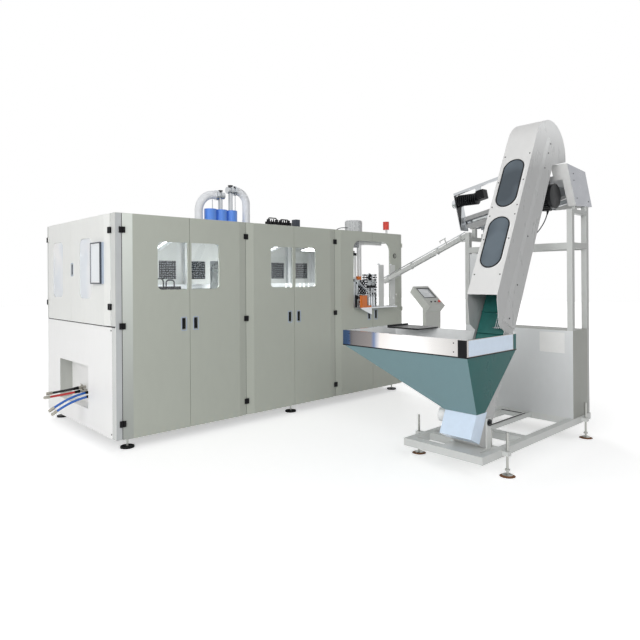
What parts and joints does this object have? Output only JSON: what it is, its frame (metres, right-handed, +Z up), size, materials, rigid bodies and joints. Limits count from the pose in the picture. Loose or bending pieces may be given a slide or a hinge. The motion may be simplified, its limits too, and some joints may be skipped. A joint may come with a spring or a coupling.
{
  "type": "blow moulding machine",
  "caption": "Cabinet machine that blows plastic bottles from preforms: hinged doors, mould clamp, oven, and a hopper with leaning belt tower, roller unscrambler and gravity rail feeding it.",
  "frame": {"origin": "on the floor, under the middle of the whole machine's footprint", "axes": "+X runs to the right along the cabinet's doors, +Y away from the doors towards the cabinet's rear wall, +Z up"},
  "size_m": [4.8894, 4.5038, 2.927],
  "materials": {
    "frame_paint": "satin grey paint",
    "panel_paint": "light grey powder coat",
    "door_paint": "grey powder coat, fine texture",
    "end_paint": "near-white powder coat",
    "console_paint": "pale grey powder coat",
    "dark_mesh": "black grille",
    "zinc_steel": "bright zinc plate",
    "machined_steel": "machined, oiled",
    "mould_aluminium": "machined",
    "black_plastic": "moulded",
    "stainless": "brushed stainless steel",
    "polished_steel": "mirror-polished stainless steel",
    "orange_paint": "gloss paint",
    "blue_plastic": "painted tanks",
    "duct_plastic": "ribbed air duct",
    "galvanised": "galvanised sheet",
    "red_lens": "moulded, red",
    "hose_rubber": "air and water hose",
    "brass": "turned",
    "clear_glass": "clear sheet",
    "smoked_glass": "smoked sheet",
    "belt_rubber": "dark teal conveyor belt",
    "black_paint": "cast motor, black",
    "teal_paint": "teal paint, satin",
    "button_plastic": "moulded"
  },
  "bodies": {
    "base": {"cabinet_frame": "frame_paint", "outer_panels": "panel_paint", "filter_grilles": "dark_mesh", "end_lower_panel": "panel_paint", "levelling_feet": "zinc_steel", "clamp_frame": "machined_steel", "oven_bank": "machined_steel", "infeed_station": "stainless", "infeed_brackets": "orange_paint", "roof_cylinders": "blue_plastic", "roof_valves": "machined_steel", "roof_hoses": "duct_plastic", "roof_fan": "galvanised", "beacon": "red_lens", "supply_hoses": "hose_rubber", "hose_fittings": "brass", "tower_housing": "stainless", "tower_windows": "smoked_glass", "belt": "belt_rubber", "drive_motor": "black_paint", "discharge_hood": "stainless", "hopper": "teal_paint", "hopper_rim": "polished_steel", "elevator_frame": "stainless", "unscrambler": "stainless", "rail": "stainless", "electrical_box": "stainless", "console_body": "console_paint", "door_3_left": "door_paint", "door_3_right": "door_paint"},
    "door_1_left": {"door_1_left": "door_paint", "window_1_left": "clear_glass"},
    "door_1_right": {"door_1_right": "door_paint", "window_1_right": "clear_glass"},
    "door_2_left": {"door_2_left": "door_paint", "window_2_left": "clear_glass"},
    "door_2_right": {"door_2_right": "door_paint", "window_2_right": "clear_glass"},
    "end_door_front": {"end_door_front": "end_paint", "end_window_front": "clear_glass", "hmi_panel": "console_paint"},
    "end_door_rear": {"end_door_rear": "end_paint", "end_window_rear": "clear_glass"},
    "latch_1_left": {"latch_1_left": "black_plastic"},
    "latch_1_right": {"latch_1_right": "black_plastic"},
    "latch_2_left": {"latch_2_left": "black_plastic"},
    "latch_2_right": {"latch_2_right": "black_plastic"},
    "latch_3_left": {"latch_3_left": "black_plastic"},
    "latch_3_right": {"latch_3_right": "black_plastic"},
    "end_latch": {"end_latch": "black_plastic"},
    "mould_half_near": {"mould_half_near": "mould_aluminium"},
    "mould_half_far": {"mould_half_far": "mould_aluminium"},
    "starwheel": {"starwheel": "black_plastic"},
    "tail_drum": {"tail_drum": "machined_steel"},
    "head_drum": {"head_drum": "machined_steel"},
    "roller_left": {"roller_left": "polished_steel"},
    "roller_right": {"roller_right": "polished_steel"},
    "console_button_left": {"console_button_left": "button_plastic"},
    "console_button_right": {"console_button_right": "button_plastic"},
    "console_stop": {"console_stop": "red_lens"}
  },
  "joints": [
    {"name": "door_1_left_hinge", "type": "hinge", "parent": "base", "child": "door_1_left", "pos_m": [-2.178, 0.439, 1.1], "axis": [0, 0, -1], "range_deg": [0, 100]},
    {"name": "door_1_right_hinge", "type": "hinge", "parent": "base", "child": "door_1_right", "pos_m": [-0.864, 0.439, 1.1], "axis": [0, 0, 1], "range_deg": [0, 82]},
    {"name": "door_2_left_hinge", "type": "hinge", "parent": "base", "child": "door_2_left", "pos_m": [-0.853, 0.439, 1.1], "axis": [0, 0, -1], "range_deg": [0, 82]},
    {"name": "door_2_right_hinge", "type": "hinge", "parent": "base", "child": "door_2_right", "pos_m": [0.437, 0.439, 1.1], "axis": [0, 0, 1], "range_deg": [0, 82]},
    {"name": "end_door_front_hinge", "type": "hinge", "parent": "base", "child": "end_door_front", "pos_m": [-2.2605, 0.5615, 1.6], "axis": [0, 0, 1], "range_deg": [0, 100]},
    {"name": "end_door_rear_hinge", "type": "hinge", "parent": "base", "child": "end_door_rear", "pos_m": [-2.2605, 2.1955, 1.6], "axis": [0, 0, -1], "range_deg": [0, 100]},
    {"name": "latch_1_left_paddle", "type": "hinge", "parent": "door_1_left", "child": "latch_1_left", "pos_m": [-1.5875, 0.4395, 1.136], "axis": [-1, 0, 0], "range_deg": [0, 38]},
    {"name": "latch_1_right_paddle", "type": "hinge", "parent": "door_1_right", "child": "latch_1_right", "pos_m": [-1.4595, 0.4395, 1.136], "axis": [-1, 0, 0], "range_deg": [0, 38]},
    {"name": "latch_2_left_paddle", "type": "hinge", "parent": "door_2_left", "child": "latch_2_left", "pos_m": [-0.2745, 0.4395, 1.136], "axis": [-1, 0, 0], "range_deg": [0, 38]},
    {"name": "latch_2_right_paddle", "type": "hinge", "parent": "door_2_right", "child": "latch_2_right", "pos_m": [-0.1465, 0.4395, 1.136], "axis": [-1, 0, 0], "range_deg": [0, 38]},
    {"name": "latch_3_left_paddle", "type": "hinge", "parent": "base", "child": "latch_3_left", "pos_m": [1.0375, 0.4395, 1.096], "axis": [-1, 0, 0], "range_deg": [0, 38]},
    {"name": "latch_3_right_paddle", "type": "hinge", "parent": "base", "child": "latch_3_right", "pos_m": [1.1655, 0.4395, 1.096], "axis": [-1, 0, 0], "range_deg": [0, 38]},
    {"name": "end_latch_paddle", "type": "hinge", "parent": "end_door_front", "child": "end_latch", "pos_m": [-2.26, 1.434, 1.661], "axis": [0, 1, 0], "range_deg": [0, 38]},
    {"name": "mould_near_slide", "type": "slide", "parent": "base", "child": "mould_half_near", "axis": [0, 1, 0], "range_m": [0, 0.109]},
    {"name": "mould_far_slide", "type": "slide", "parent": "base", "child": "mould_half_far", "axis": [0, -1, 0], "range_m": [0, 0.109]},
    {"name": "starwheel_spin", "type": "hinge", "parent": "base", "child": "starwheel", "pos_m": [1.2165, 0.586, 1.47], "axis": [0, 0, 1], "continuous": true},
    {"name": "tail_drum_spin", "type": "hinge", "parent": "base", "child": "tail_drum", "pos_m": [-0.44174, -1.929, 0.31029], "axis": [0, 1, 0], "continuous": true},
    {"name": "head_drum_spin", "type": "hinge", "parent": "base", "child": "head_drum", "pos_m": [0.7072, -1.929, 2.62481], "axis": [0, 1, 0], "continuous": true},
    {"name": "roller_left_spin", "type": "hinge", "parent": "base", "child": "roller_left", "pos_m": [1.1535, -1.45764, 2.22311], "axis": [0, -0.9781, 0.2079], "continuous": true},
    {"name": "roller_right_spin", "type": "hinge", "parent": "base", "child": "roller_right", "pos_m": [1.2695, -1.45764, 2.22311], "axis": [0, -0.9781, 0.2079], "continuous": true},
    {"name": "console_button_left_press", "type": "slide", "parent": "base", "child": "console_button_left", "axis": [0, 0.6811, -0.7322], "range_m": [0, 0.003], "stiffness_N_per_m": 600, "springref_m": -0.001},
    {"name": "console_button_right_press", "type": "slide", "parent": "base", "child": "console_button_right", "axis": [0, 0.6811, -0.7322], "range_m": [0, 0.003], "stiffness_N_per_m": 600, "springref_m": -0.001},
    {"name": "console_stop_press", "type": "slide", "parent": "base", "child": "console_stop", "axis": [0, 0.6811, -0.7322], "range_m": [0, 0.003], "stiffness_N_per_m": 600, "springref_m": -0.001}
  ],
  "couplings": [
    {"joint": "mould_far_slide", "follows": "mould_near_slide", "ratio": 1},
    {"joint": "tail_drum_spin", "follows": "head_drum_spin", "ratio": 1},
    {"joint": "roller_right_spin", "follows": "roller_left_spin", "ratio": -1}
  ]
}
